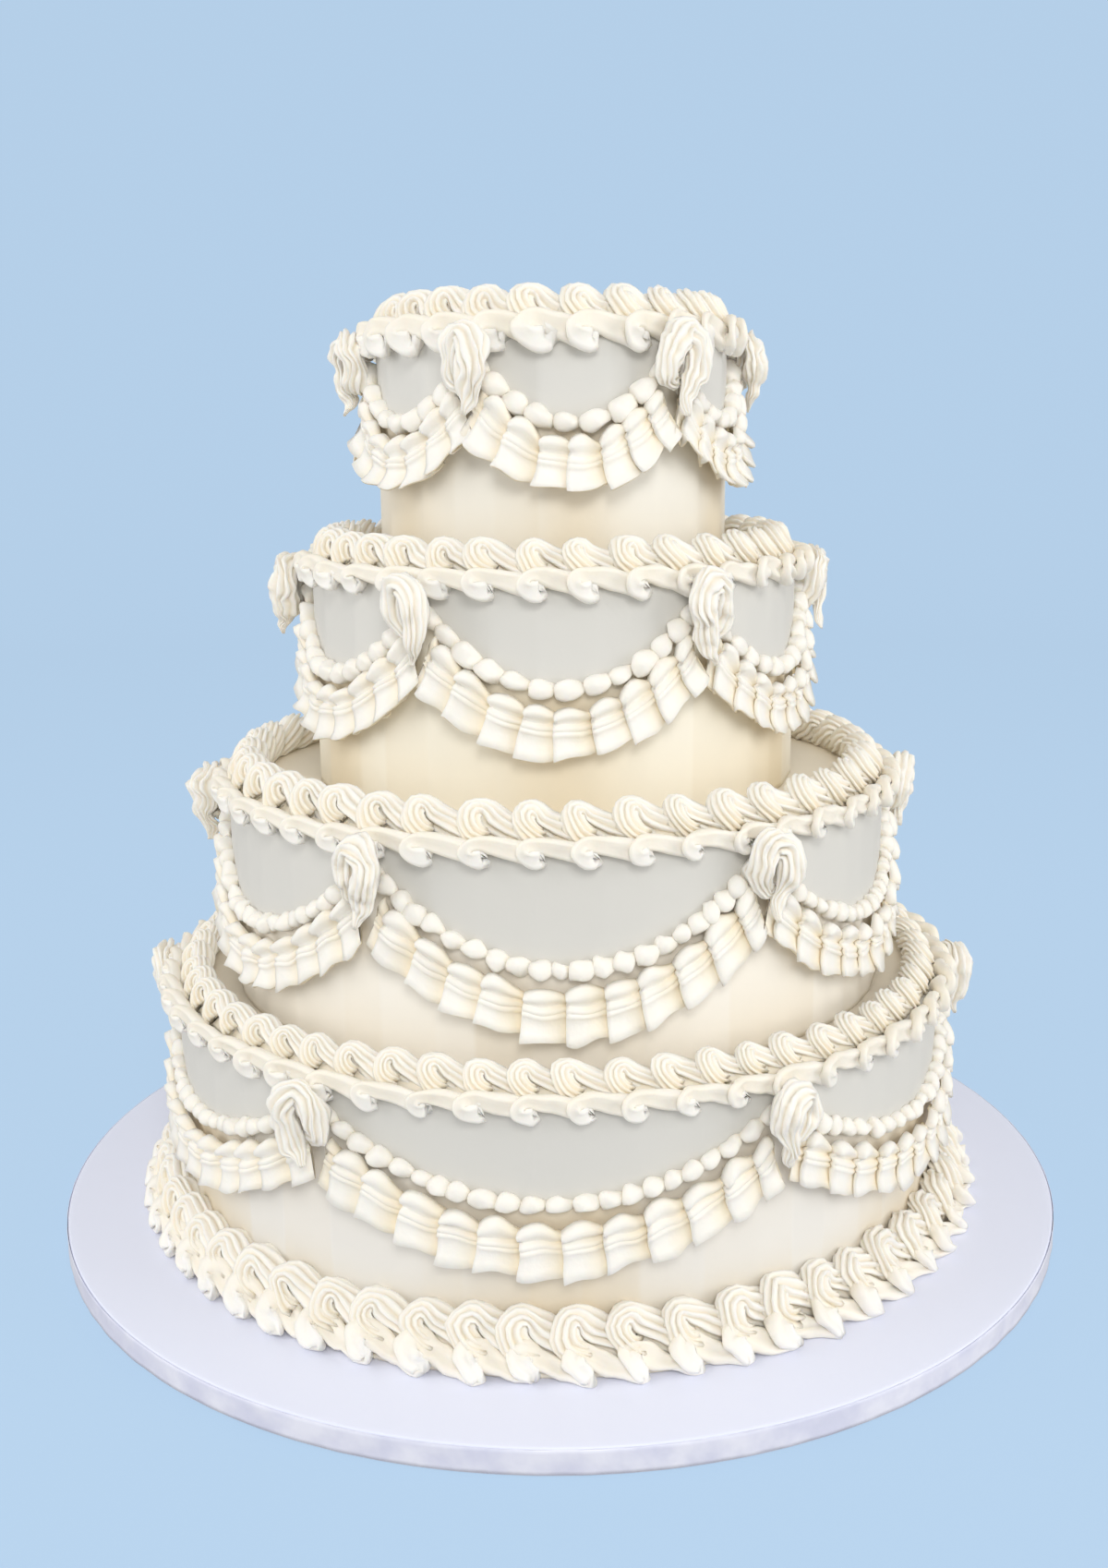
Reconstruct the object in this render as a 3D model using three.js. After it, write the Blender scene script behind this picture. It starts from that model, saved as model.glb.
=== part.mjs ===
// Four-tier wedding cake with piped icing, built together with its round board.
// Millimetres, +Z up. The origin is the centre of the board's underside and the front faces -Y.
// Azimuths are degrees from the front, positive towards +X.
//
// Every border and swag runs right round the cake, so it is one ring solid stitched between a few
// closed lines. A line is given in cylindrical terms as a function of the unit count, where a unit
// is one loop of a border, one fold of a ruffle or one step of a pearl string.

import * as THREE from 'three';

// ---------------------------------------------------------------- driving dimensions

const GAP = 0.3; // clearance between touching pieces
const ROUND_SEGMENTS = 48; // facets of the board, the ribbon and the tiers

const BOARD = { radius: 253.3, thickness: 12, edge: 1 };
const RIBBON = { thickness: 0.4, inset: 0.5 };

const SWAGS = 6; // swags, and drops between them, on each tier
const EDGE_ROUND = 3; // rounding of a tier's top edge

// From the bottom tier up. turn is the azimuth of the middle of the front swag.
const TIERS = [
  { radius: 193, height: 113, turn: 2, ropeLoops: 60, ropeHeight: 16, curls: 55, sag: 32, folds: 12 },
  { radius: 163, height: 98, turn: 5, ropeLoops: 44, ropeHeight: 20, curls: 46, sag: 40, folds: 11 },
  { radius: 118, height: 104, turn: 5, ropeLoops: 33, ropeHeight: 20, curls: 34, sag: 34, folds: 9 },
  { radius: 84, height: 104, turn: 10, ropeLoops: 25, ropeHeight: 22, curls: 25, sag: 27, folds: 7 },
];

// Star rope on top of each tier: how far its feet stand in from the edge, and where its loops crest.
const ROPE = { innerFoot: 20, outerFoot: 2.5, humpInset: 13, dipInset: 9, dipShare: 0.62 };

// Scroll of curls hung over each tier's top edge.
const SCROLL = { rise: 8, fall: 6, curlProud: 9, curlFall: 3, dipProud: 5.5, dipRise: 2 };

// Pearl string of each swag. end is how far below the tier's top the swags meet.
const PEARLS = { end: 10.5, halfHeight: 3.5, steps: 6 };

// Ruffle of each swag, placed below its pearl string.
const RUFFLE = {
  topDrop: 6,
  ribDrop: 17.5,
  frillDrop: 29,
  footLift: 5,
  foldStep: 2.5,
  ribShare: 0.6,
  tuckShare: 0.55,
  tuckAt: 0.85,
};

// How far a swag stands out from the wall: pressed thin where a drop covers its end, and full
// further along. from and to are distances from the swag's end.
const SWAG_END = { proud: 2.5, from: 13, to: 30 };
const PROUD = { pearls: 5.5, ruffle: 14 };

// Drop that covers the place where two swags meet. Levels are above the tier's top, and its back
// steps over the scroll. The front has three ridges and two grooves, as shares of width and depth.
const DROP = {
  halfWidth: 12,
  crown: { level: 11, proud: 13 },
  stations: [
    { level: 10, width: 0.55, back: 10, proud: 15.5 },
    { level: -5, width: 1, back: 10, proud: 22 },
    { level: -14, width: 0.95, back: 3.8, proud: 21 },
    { level: -26, width: 0.55, back: 3.8, proud: 14 },
  ],
  tail: { level: -34, proud: 12 },
  across: [-1, -0.78, -0.4, 0, 0.4, 0.78, 1],
  depth: [0, 0.72, 0.6, 1, 0.6, 0.72, 0],
};

// Star rope piled against the foot of the bottom tier, and the row of curls laid round it.
const BASE_ROPE = { loops: 57, width: 14.5, humpProud: 5, humpHeight: 28, dipProud: 8, dipHeight: 20 };
const BASE_CURLS = {
  curls: 57,
  inner: 15.6,
  crestProud: 18.5,
  crestHeight: 12,
  tipProud: 25,
  notchProud: 20,
};

// ---------------------------------------------------------------- materials

function icing(colour) {
  return new THREE.MeshStandardMaterial({ color: colour, roughness: 0.55, metalness: 0 });
}

const MATERIALS = {
  cake: icing(0xf1ecdf),
  piping: icing(0xf8f4ea),
  board: new THREE.MeshStandardMaterial({ color: 0xe3e4f1, roughness: 0.5, metalness: 0 }),
  ribbon: new THREE.MeshStandardMaterial({ color: 0xd9dbec, roughness: 0.3, metalness: 0 }),
};

// ---------------------------------------------------------------- general helpers

const radians = THREE.MathUtils.degToRad;
const mix = THREE.MathUtils.lerp;
const smoothBetween = THREE.MathUtils.smoothstep;

function piece(name, geometry, materialName) {
  const mesh = new THREE.Mesh(geometry, MATERIALS[materialName].clone());
  mesh.name = name;
  return mesh;
}

// Geometry from [x, y, z] points and triangles of three point numbers.
function solid(points, triangles) {
  const geometry = new THREE.BufferGeometry();
  geometry.setAttribute('position', new THREE.Float32BufferAttribute(points.flat(), 3));
  geometry.setIndex(triangles.flat());
  geometry.computeVertexNormals();
  return geometry;
}

// Turned solid about +Z from [radius, height] points that run from the lowest outwards and up.
function turned(points) {
  const profile = points.map(([radius, height]) => new THREE.Vector2(radius, height));
  return new THREE.LatheGeometry(profile, ROUND_SEGMENTS).rotateX(Math.PI / 2);
}

// Radius of a ring's back so that its flat steps still clear a wall of the given radius.
function backRadius(wallRadius, steps) {
  return (wallRadius + GAP) / Math.cos(Math.PI / steps);
}

function cylindrical(radius, azimuth, height) {
  return [radius * Math.sin(azimuth), -radius * Math.cos(azimuth), height];
}

// Triangles between two closed lines. Each has one or two points per unit.
function stitch(lower, upper, units) {
  const faces = [];
  for (let unit = 0; unit < units; unit += 1) {
    const low = lower.unitPoints(unit);
    const high = upper.unitPoints(unit);
    const middle = Math.floor(low.length / 2);
    for (let i = 0; i + 1 < low.length; i += 1) {
      faces.push([low[i], low[i + 1], high[i < middle ? 0 : high.length - 1]]);
    }
    for (let i = 0; i + 1 < high.length; i += 1) {
      faces.push([high[i + 1], high[i], low[middle]]);
    }
  }
  return faces;
}

// Closed ring stitched round a section. Each line is { perUnit, at }, and at(unit) gives
// [radius, azimuth, height] for a count of units that may be fractional.
function ringSolid(units, lines) {
  const positions = [];
  const indexed = lines.map(({ perUnit, at }) => {
    const first = positions.length;
    const count = units * perUnit;
    for (let i = 0; i < count; i += 1) {
      positions.push(cylindrical(...at(i / perUnit)));
    }
    const unitPoints = (unit) =>
      Array.from({ length: perUnit + 1 }, (_, i) => first + ((unit * perUnit + i) % count));
    return { unitPoints };
  });
  const faces = indexed.flatMap((line, i) => stitch(line, indexed[(i + 1) % indexed.length], units));
  return solid(positions, faces);
}

// ---------------------------------------------------------------- board and tiers

// Solid disc that stands on its own origin, with its top edge bevelled.
function roundedDisc(radius, height, bevel) {
  return turned([
    [0, 0],
    [radius, 0],
    [radius, height - bevel],
    [radius - bevel, height],
    [0, height],
  ]);
}

function boardGeometry() {
  return roundedDisc(BOARD.radius, BOARD.thickness, BOARD.edge);
}

function ribbonGeometry() {
  const inner = BOARD.radius + GAP;
  const outer = inner + RIBBON.thickness;
  const low = RIBBON.inset;
  const high = BOARD.thickness - RIBBON.inset;
  return turned([[inner, low], [outer, low], [outer, high], [inner, high], [inner, low]]);
}

function tierGeometry({ radius, height }) {
  return roundedDisc(radius, height, EDGE_ROUND);
}

// ---------------------------------------------------------------- borders

function ringAzimuth(unit, units) {
  return (2 * Math.PI * unit) / units;
}

function isBetween(unit) {
  return unit % 1 !== 0;
}

// Loops of a star rope: high and set in at each hump, lower and further out between.
function ropeGeometry({ radius, ropeLoops, ropeHeight }) {
  const foot = (inset) => (unit) => [radius - inset, ringAzimuth(unit, ropeLoops), GAP];
  const crest = (unit) => {
    const inset = isBetween(unit) ? ROPE.dipInset : ROPE.humpInset;
    const height = isBetween(unit) ? ropeHeight * ROPE.dipShare : ropeHeight;
    return [radius - inset, ringAzimuth(unit, ropeLoops), height];
  };
  return ringSolid(ropeLoops, [
    { perUnit: 1, at: foot(ROPE.outerFoot) },
    { perUnit: 2, at: crest },
    { perUnit: 1, at: foot(ROPE.innerFoot) },
  ]);
}

function scrollGeometry({ radius, curls }) {
  const back = backRadius(radius, curls);
  const wall = (level) => (unit) => [back, ringAzimuth(unit, curls), level];
  const front = (unit) => {
    const proud = isBetween(unit) ? SCROLL.dipProud : SCROLL.curlProud;
    const level = isBetween(unit) ? SCROLL.dipRise : -SCROLL.curlFall;
    return [radius + proud, ringAzimuth(unit, curls), level];
  };
  return ringSolid(curls, [
    { perUnit: 1, at: wall(-SCROLL.fall) },
    { perUnit: 2, at: front },
    { perUnit: 1, at: wall(SCROLL.rise) },
  ]);
}

function baseRopeGeometry(radius) {
  const { loops, width, humpProud, humpHeight, dipProud, dipHeight } = BASE_ROPE;
  const back = backRadius(radius, loops);
  const foot = (footRadius) => (unit) => [footRadius, ringAzimuth(unit, loops), GAP];
  const crest = (unit) => {
    const proud = isBetween(unit) ? dipProud : humpProud;
    return [radius + proud, ringAzimuth(unit, loops), isBetween(unit) ? dipHeight : humpHeight];
  };
  return ringSolid(loops, [
    { perUnit: 1, at: foot(radius + width) },
    { perUnit: 2, at: crest },
    { perUnit: 1, at: foot(back) },
  ]);
}

function baseCurlsGeometry(radius) {
  const { curls, inner, crestProud, crestHeight, tipProud, notchProud } = BASE_CURLS;
  const ring = (proud, height) => (unit) => [radius + proud, ringAzimuth(unit, curls), height];
  const outer = (unit) => {
    const proud = isBetween(unit) ? notchProud : tipProud;
    return [radius + proud, ringAzimuth(unit, curls), GAP];
  };
  return ringSolid(curls, [
    { perUnit: 2, at: outer },
    { perUnit: 1, at: ring(crestProud, crestHeight) },
    { perUnit: 1, at: ring(inner, GAP) },
  ]);
}

// ---------------------------------------------------------------- swags

// Azimuth of the first drop: half a swag before the middle of the front one.
function firstDrop(turn) {
  return radians(turn - 180 / SWAGS);
}

// Share of the way along its own swag, from 0 to 1.
function alongSwag(unit, stepsPerSwag) {
  return (unit / stepsPerSwag) % 1;
}

// Level of the pearl string below the tier's top: a hanging curve between two drops.
function pearlLevel(along, sag) {
  return -PEARLS.end - sag * 4 * along * (1 - along);
}

function swagProud(along, radius, full) {
  const swagLength = (2 * Math.PI * radius) / SWAGS;
  const fromEnd = Math.min(along, 1 - along) * swagLength;
  return mix(SWAG_END.proud, full, smoothBetween(fromEnd, SWAG_END.from, SWAG_END.to));
}

function pearlGeometry({ radius, turn, sag }) {
  const { steps, halfHeight } = PEARLS;
  const units = SWAGS * steps;
  const back = backRadius(radius, units);
  const azimuth = (unit) => firstDrop(turn) + ringAzimuth(unit, units);
  const level = (unit) => pearlLevel(alongSwag(unit, steps), sag);
  const wall = (offset) => (unit) => [back, azimuth(unit), level(unit) + offset];
  const crest = (unit) => {
    const proud = swagProud(alongSwag(unit, steps), radius, PROUD.pearls);
    return [radius + proud, azimuth(unit), level(unit)];
  };
  return ringSolid(units, [
    { perUnit: 1, at: wall(-halfHeight) },
    { perUnit: 1, at: crest },
    { perUnit: 1, at: wall(halfHeight) },
  ]);
}

// Knife-folded ruffle. Each fold starts proud on its left and tucks in under the next.
function ruffleGeometry({ radius, turn, sag, folds }) {
  const units = SWAGS * folds;
  const back = backRadius(radius, units);
  const azimuth = (unit) => firstDrop(turn) + ringAzimuth(unit, units);
  const level = (unit, drop) => pearlLevel(alongSwag(unit, folds), sag) - drop;
  const wall = (drop) => (unit) => [back, azimuth(unit), level(unit, drop)];
  const rib = (unit) => {
    const proud = swagProud(alongSwag(unit, folds), radius, RUFFLE.ribShare * PROUD.ruffle);
    return [radius + proud, azimuth(unit), level(unit, RUFFLE.ribDrop)];
  };
  const frill = (unit) => {
    const tucked = isBetween(unit);
    const place = tucked ? Math.floor(unit) + RUFFLE.tuckAt : unit;
    const share = tucked ? RUFFLE.tuckShare : 1;
    const step = tucked ? -RUFFLE.foldStep : 0;
    const proud = share * swagProud(alongSwag(place, folds), radius, PROUD.ruffle);
    return [radius + proud, azimuth(place), level(place, RUFFLE.frillDrop + step)];
  };
  return ringSolid(units, [
    { perUnit: 1, at: wall(RUFFLE.frillDrop - RUFFLE.footLift) },
    { perUnit: 2, at: frill },
    { perUnit: 1, at: rib },
    { perUnit: 1, at: wall(RUFFLE.topDrop) },
  ]);
}

// ---------------------------------------------------------------- drops

function dropSection({ level, width, back, proud }, radius) {
  return DROP.across.map((share, i) => {
    const side = share * width * DROP.halfWidth;
    return [side, -(radius + mix(back, proud, DROP.depth[i])), level];
  });
}

function fan(centre, ring, flip) {
  const faces = [];
  for (let i = 0; i < ring.length; i += 1) {
    const next = ring[(i + 1) % ring.length];
    faces.push(flip ? [centre, next, ring[i]] : [centre, ring[i], next]);
  }
  return faces;
}

function dropGeometry(radius) {
  const sections = DROP.stations.map((station) => dropSection(station, radius));
  const size = sections[0].length;
  const ringAt = (row) => Array.from({ length: size }, (_, i) => row * size + i);
  const faces = [];
  for (let row = 0; row + 1 < sections.length; row += 1) {
    for (let i = 0; i < size; i += 1) {
      const next = (i + 1) % size;
      const [a, b] = [row * size + i, row * size + next];
      faces.push([a, a + size, b], [b, a + size, b + size]);
    }
  }
  const crown = [0, -(radius + DROP.crown.proud), DROP.crown.level];
  const tail = [0, -(radius + DROP.tail.proud), DROP.tail.level];
  const crownIndex = sections.length * size;
  faces.push(...fan(crownIndex, ringAt(0), false));
  faces.push(...fan(crownIndex + 1, ringAt(sections.length - 1), true));
  return solid([...sections.flat(), crown, tail], faces);
}

// ---------------------------------------------------------------- the cake

function tierGroup(tier, number) {
  const group = new THREE.Group();
  const top = new THREE.Group();
  top.position.z = tier.height;
  top.add(
    piece(`rim_rope_${number}`, ropeGeometry(tier), 'piping'),
    piece(`rim_scroll_${number}`, scrollGeometry(tier), 'piping'),
    piece(`pearl_swags_${number}`, pearlGeometry(tier), 'piping'),
    piece(`ruffle_swags_${number}`, ruffleGeometry(tier), 'piping'),
  );
  for (let i = 0; i < SWAGS; i += 1) {
    const drop = piece(`drop_${number}_${i + 1}`, dropGeometry(tier.radius), 'piping');
    drop.rotation.z = firstDrop(tier.turn) + (2 * Math.PI * i) / SWAGS;
    top.add(drop);
  }
  group.add(piece(`tier_${number}`, tierGeometry(tier), 'cake'), top);
  return group;
}

const cake = new THREE.Group();
cake.add(piece('cake_board', boardGeometry(), 'board'), piece('board_ribbon', ribbonGeometry(), 'ribbon'));

const foot = new THREE.Group();
foot.position.z = BOARD.thickness;
foot.add(
  piece('base_rope', baseRopeGeometry(TIERS[0].radius), 'piping'),
  piece('base_curls', baseCurlsGeometry(TIERS[0].radius), 'piping'),
);
cake.add(foot);

let level = BOARD.thickness + GAP;
TIERS.forEach((tier, i) => {
  const group = tierGroup(tier, i + 1);
  group.position.z = level;
  cake.add(group);
  level += tier.height + GAP;
});

export default cake;
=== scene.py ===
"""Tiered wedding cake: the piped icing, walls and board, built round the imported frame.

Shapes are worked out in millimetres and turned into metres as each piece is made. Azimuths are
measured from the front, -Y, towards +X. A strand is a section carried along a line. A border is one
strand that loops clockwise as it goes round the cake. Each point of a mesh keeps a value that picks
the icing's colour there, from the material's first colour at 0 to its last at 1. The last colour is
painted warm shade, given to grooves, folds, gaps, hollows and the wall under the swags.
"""

import math

import bpy
import numpy as np
from mathutils import Matrix, Vector


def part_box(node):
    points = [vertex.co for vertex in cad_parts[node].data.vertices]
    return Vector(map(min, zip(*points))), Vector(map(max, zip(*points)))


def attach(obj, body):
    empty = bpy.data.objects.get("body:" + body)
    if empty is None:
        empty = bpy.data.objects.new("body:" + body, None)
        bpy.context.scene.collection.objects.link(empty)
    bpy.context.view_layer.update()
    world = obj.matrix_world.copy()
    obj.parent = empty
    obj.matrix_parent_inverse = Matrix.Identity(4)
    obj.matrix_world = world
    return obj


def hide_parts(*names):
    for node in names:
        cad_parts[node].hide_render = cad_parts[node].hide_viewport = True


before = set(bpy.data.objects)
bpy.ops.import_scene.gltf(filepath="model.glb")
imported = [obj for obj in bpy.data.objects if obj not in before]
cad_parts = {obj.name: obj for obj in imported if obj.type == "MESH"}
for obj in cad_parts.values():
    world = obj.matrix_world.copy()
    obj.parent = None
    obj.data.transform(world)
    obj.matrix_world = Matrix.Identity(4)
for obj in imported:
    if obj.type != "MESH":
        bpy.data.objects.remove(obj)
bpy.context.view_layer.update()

# ------------------------------------------------------------------ driving values, millimetres

METRE = 1000
TURN = 2 * math.pi
GAP = 0.3  # clearance that the frame keeps between touching pieces
SWAGS = 6
SWAG_POINTS = 200  # points along a swag's curve

# Where each kind of piece starts its random numbers. The drops of each tier start ten further on than
# those of the tier below it.
SEEDS = dict(
    rim_rope=0, rim_scroll=10, base_rope=21, base_curls=22, pearls=30, ruffles=40, drops=50, wall=70,
    ribbon=90,
)

# From the bottom tier up. Turn is the azimuth in degrees of the middle of the front swag, rope the
# rim rope's thickness, and curl the size of the scroll's curls against SCROLL. Sag is how far a swag
# hangs, pearl and bead are a pearl's length and half thickness, and flare is how proud the edge of the
# ruffle's frill is. Wall is the wall's colour below the swags, and the last value is how much painted
# golden shade the wall takes under the middle of each swag.
TIERS = [
    dict(
        turn=2, rope_loops=60, rope=5.6, curls=55, curl=1.0, sag=32, folds=12, pearl=9.8, bead=3.9,
        flare=9, wall=(238, 234, 226), swag_shade=0.2,
    ),
    dict(
        turn=5, rope_loops=44, rope=6.7, curls=46, curl=1.0, sag=40, folds=11, pearl=8.6, bead=4.3,
        flare=9.5, wall=(254, 249, 239), swag_shade=0.0,
    ),
    dict(
        turn=5, rope_loops=33, rope=6.8, curls=34, curl=1.05, sag=34, folds=9, pearl=10.8, bead=4.7,
        flare=10.5, wall=(251, 245, 229), swag_shade=0.2,
    ),
    dict(
        turn=10, rope_loops=23, rope=7.9, curls=25, curl=1.3, sag=27, folds=7, pearl=12.5, bead=4.6,
        flare=13, wall=(244, 240, 230), swag_shade=0.2,
    ),
]

# Sections. A star has points to each of its ridges, and its grooves' depth is a share of its radius.
# A band's hollow is a share of its half depth, and spread is how far the hollow reaches across it.
STAR = dict(ridges=10, points=4, depth=0.4)
BAND = dict(hollow=0.75, spread=0.55)

# Slow waves that make icing uneven. Each moves it by a share of the depth, in a direction of its own.
# Where a piece has rough, bends or lumps, that is the waves' length and their depth.
ROUGH = dict(waves=5, share=0.5)

# Borders. Thick, inset, level and out are in millimetres, tilt in degrees and phase in radians. The
# loops' reach, rise, skew and lift, and the strand's half width and swell, are shares of the thickness.
# Jitter is how much the loops vary in size. Stride is the share of a loop in which the border moves on
# to the next one, after a rest. Drift is how far a loop may stray along the border, in loops. Samples
# are those of one loop, and points those of a band's section. Proud is how far the scroll stands off
# its wall, as a share of the thickness, and depth is a share of the half width.
LOOPS = dict(rest=0.03, drift=0.11)
ROPE = dict(
    inset=9.3, tilt=42, reach=0.8, rise=0.84, skew=0.32, lift=0.55, half=0.9, swell=0.12, phase=-1.2,
    jitter=0.06, stride=0.45, samples=17, rough=(14, 0.8),
)
SCROLL = dict(
    thick=4.5, proud=0.9, level=1.2, tilt=0, reach=0.92, rise=0.7, skew=0.1, lift=0.6, half=0.82,
    swell=0.22, phase=-2.2, jitter=0.1, stride=0.42, samples=28, points=12, rough=(12, 0.6),
)
BASE_ROPE = dict(
    loops=57, thick=7.3, out=7.6, level=14.6, tilt=30, reach=0.8, rise=0.84, skew=0.32, lift=0.5,
    half=0.92, swell=0.14, phase=-1.2, jitter=0.08, stride=0.45, samples=17, rough=(14, 1.0),
)
BASE_CURLS = dict(
    loops=57, thick=6.0, out=16.8, level=7.0, tilt=45, reach=0.9, rise=0.7, skew=0.3, lift=0.5,
    half=0.8, depth=0.85, swell=0.2, phase=0.6, jitter=0.1, stride=0.5, samples=22, points=16,
    rough=(11, 1.2),
)

# The plain icing under a border. The rim rope's is set out by shares of its thickness, inwards and
# outwards from its line and down from its top. The others are set out from the bottom tier's wall.
# Lip is the height of a bed's outer edge, and toe is how far its inner foot reaches in.
BED = dict(steps=120, lip=1.5, toe=1)
ROPE_BED = dict(inwards=0.6, outwards=0.8, below=1.5)
BASE_ROPE_BED = dict(inner=2, outer=14, height=14)
BASE_CURLS_BED = dict(inner=10, outer=15, height=5)

# End is how far under the tier's top the swags start. A pearl's middle stands out from the wall by the
# share sunk of its half thickness, and the neck between pearls is a share of that too. Its length and
# size vary between two factors, and droop is how much lower one of twice the size would hang. Lead
# brings its fullest place forward, and bluntness rounds out its ends.
PEARL = dict(
    end=10.5, sunk=0.45, neck=0.4, lengths=(0.8, 1.2), sizes=(0.85, 1.15), droop=1.2, lead=0.7,
    bluntness=0.6, samples=9, points=12, rough=(9, 1.0),
)

# Rib drop is how far the ribs hang under the pearls, and end how far from a swag's ends the folds
# stop. Overlap is how far a fold swings either way, and snap sharpens its turns. Bunch draws the
# samples towards the middle of each fold, and wander is how far a fold may stray, both in folds. The
# hood's and the frill's sizes and flares are factors that vary from fold to fold between two values.
RUFFLE = dict(
    rib_drop=17.5, end=5.0, overlap=5.7, snap=0.09, bunch=0.055, wander=0.12, lean=0.5, thick=1.2,
    samples=16, rough=(16, 0.8),
)
# The hood's top edge, over the ribs, rises to a peak at each fold.
HOOD = dict(low=4.8, rise=6.4, lead=0.55, sharpness=2.2, sizes=(0.75, 1.2))
# The frill's low edge, under the ribs, is longer where a fold is proud, and ripples.
FRILL = dict(drop=10.6, proud_drop=1.4, ripple=0.5, ripples=2.6, sizes=(0.9, 1.12), flares=(0.85, 1.1))
# How far a ruffle stands out: the least of it, how rounded a fold is, how high a rib is, and the share
# that is left at the swag's ends. It grows to the whole between two distances from an end.
RELIEF = dict(least=0.4, rounding=0.18, rib=1.1, at_end=0.4, end_zone=(-4, 10))

# Lean is how far a drop may slant. Its thickness swells and shrinks by pulse, through a whole angle
# drawn between the two pulses, in radians.
DROP = dict(
    samples=44, lean=0.12, sizes=(0.94, 1.05), pulse=0.05, pulses=(26, 34), bends=(16, 1.9),
    lumps=(7, 0.8),
)

# Flats are what the scraper leaves on a wall, one to each spacing. Their widths vary between two
# values before they are fitted to the wall, and depth is how deep one may lie. A wall's mesh has
# columns of one width and rows up to its rounded top edge, and its last row is set in by ledge.
FLAT = dict(widths=(18, 34), spacing=24, depth=0.12)
WALL = dict(column=2.2, rows=40, edge=3.0, corners=6, ledge=8)
BOARD = dict(steps=256, edge=1.0, corners=5, foot=0.5, inset=4)

# Front, deepest and back are set in from the ribbon's outside. Calm is how much of the crinkle is left
# half way up.
RIBBON = dict(
    steps=720, rows=7, front=0.2, deepest=0.34, back=0.38, crinkle=0.06, calm=0.4, waves=(25, 130),
    wave_count=12, wave_sizes=(0.3, 1),
)

# ------------------------------------------------------------------ colours, light and view

# Colours are 8-bit display values. The icing's warm colour and the golden one are painted shade, the
# ribbon's dull and bright ones painted shade and sheen on its creases.
PAINT = dict(
    icing_cool=(250, 247, 241), icing_shade=(245, 231, 202), window=(218, 216, 210),
    golden_shade=(230, 211, 174), board=(234, 237, 253), ribbon_crease_shade=(215, 217, 237),
    ribbon_crease_sheen=(234, 235, 248), backdrop=(188, 215, 241),
)

# Painted shade on the piping: in its grooves, at the pinched feet of its loops, on the beds under the
# borders and in the necks between pearls. Curls and pearls also take a little of the warm colour all
# over, and curls more at their tops. A ruffle has its base value at the share crest of the way out to
# a fold's start. Its painted shade grows at the rate tucked from there inwards, lessens by frill
# towards its edge, and covers its back, which faces the wall.
PIPING_TONE_AND_SHADE = dict(bed=0.6, groove=0.7, foot=0.4, curl=0.25, curl_swing=0.2, pearl=0.12, neck=0.4)
RUFFLE_TONE_AND_SHADE = dict(base=0.2, tucked=1.3, crest=0.7, frill=0.1, least=0.12, behind=0.9)

# Tone and painted shade of a wall. It is 0 in the window above the pearls and has the wall's own
# colour at the middle. To that comes painted golden shade: at the foot, under the middle of each swag,
# in the strip between pearls and ruffle, and on each scraper flat, shifted one way or the other from
# flat to flat. The top, inside the rounded edge, is set to ledge, between the wall's colour and the
# painted golden shade behind the rope.
WALL_TONE_AND_SHADE = dict(
    middle=0.5, foot=0.08, foot_zone=(12, 45), swag_power=6, flat=0.06, strip=0.1, strip_drop=9,
    strip_width=6, window_zone=(-3, 1), ledge=0.68,
)

FLOOR = dict(radius=3000, height=4000, curve=800, hole=0.001, steps=96, corners=16)
FLOOR_PAINT = dict(base=0.2, glow=0.78)
WORLD = dict(colour=(0.965, 0.985, 1.0, 1.0), strength=0.59)

# Lights, in metres and watts.
LIGHT_TARGET = (0, 0, 0.22)
LIGHTS = [
    dict(name="Key", place=(0.25, -1.7, 1.25), size=0.7, watts=12.2, colour=(1.0, 0.99, 0.97)),
    dict(name="Fill_left", place=(-1.7, -0.6, 0.75), size=1.4, watts=11, colour=(1.0, 0.99, 0.98)),
    dict(name="Fill_right", place=(1.7, -0.6, 0.75), size=1.4, watts=11, colour=(1.0, 0.99, 0.98)),
]

# The viewpoint: place in millimetres, angles in degrees, and focal length in picture heights.
VIEWPOINT = dict(place=(49.6, -793.1, 396.4), yaw=-3.64, pitch=12.85, roll=-0.6, focal=1.0215)
SENSOR = 36


# ------------------------------------------------------------------ points and meshes


def box_mm(node):
    """Lowest and highest corner of a frame node, in millimetres."""
    return [np.array(corner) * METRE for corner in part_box(node)]


def full_turn(count):
    """Angles spaced evenly round a full turn."""
    return np.arange(count) * TURN / count


def around(radius, azimuth, level):
    """Points at a distance from the axis, an azimuth and a level."""
    radius, azimuth, level = np.broadcast_arrays(radius, azimuth, level)
    return np.stack([radius * np.sin(azimuth), -radius * np.cos(azimuth), level], axis=-1)


def outward(azimuth):
    """Level vectors of length 1 away from the axis."""
    return around(1.0, azimuth, 0.0)


def unit(vectors):
    """The vectors at length 1."""
    return vectors / np.linalg.norm(vectors, axis=-1, keepdims=True)


def smooth(value, low, high):
    """0 below low, 1 above high and an S curve between."""
    share = np.clip((value - low) / (high - low), 0, 1)
    return share * share * (3 - 2 * share)


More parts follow.
